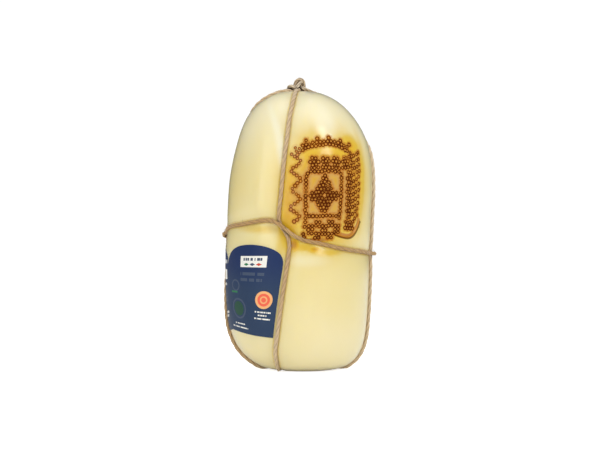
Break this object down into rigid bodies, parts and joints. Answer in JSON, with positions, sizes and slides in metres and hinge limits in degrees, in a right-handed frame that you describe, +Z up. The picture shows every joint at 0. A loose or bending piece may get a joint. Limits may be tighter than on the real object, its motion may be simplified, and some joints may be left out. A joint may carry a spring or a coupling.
{
  "type": "caciocavallo cheese",
  "caption": "Tall stretched-curd cheese, roped with jute twine into lobes and knotted on top, with a burned-in mark and a printed label.",
  "frame": {"origin": "on the ground, under the middle of the whole piece's ground plan", "axes": "+Z up through the knot; -Y is the front, with the burned-in mark; -X is the side with the label"},
  "size_m": [0.1194, 0.1132, 0.2239],
  "materials": {
    "rind": "smooth waxy rind",
    "twine": "twisted jute",
    "label": "satin print"
  },
  "bodies": {
    "root": {"cheese": "rind", "twine_front_back": "twine", "twine_left_right": "twine", "twine_belt": "twine", "twine_knot": "twine", "label": "label"}
  },
  "joints": []
}
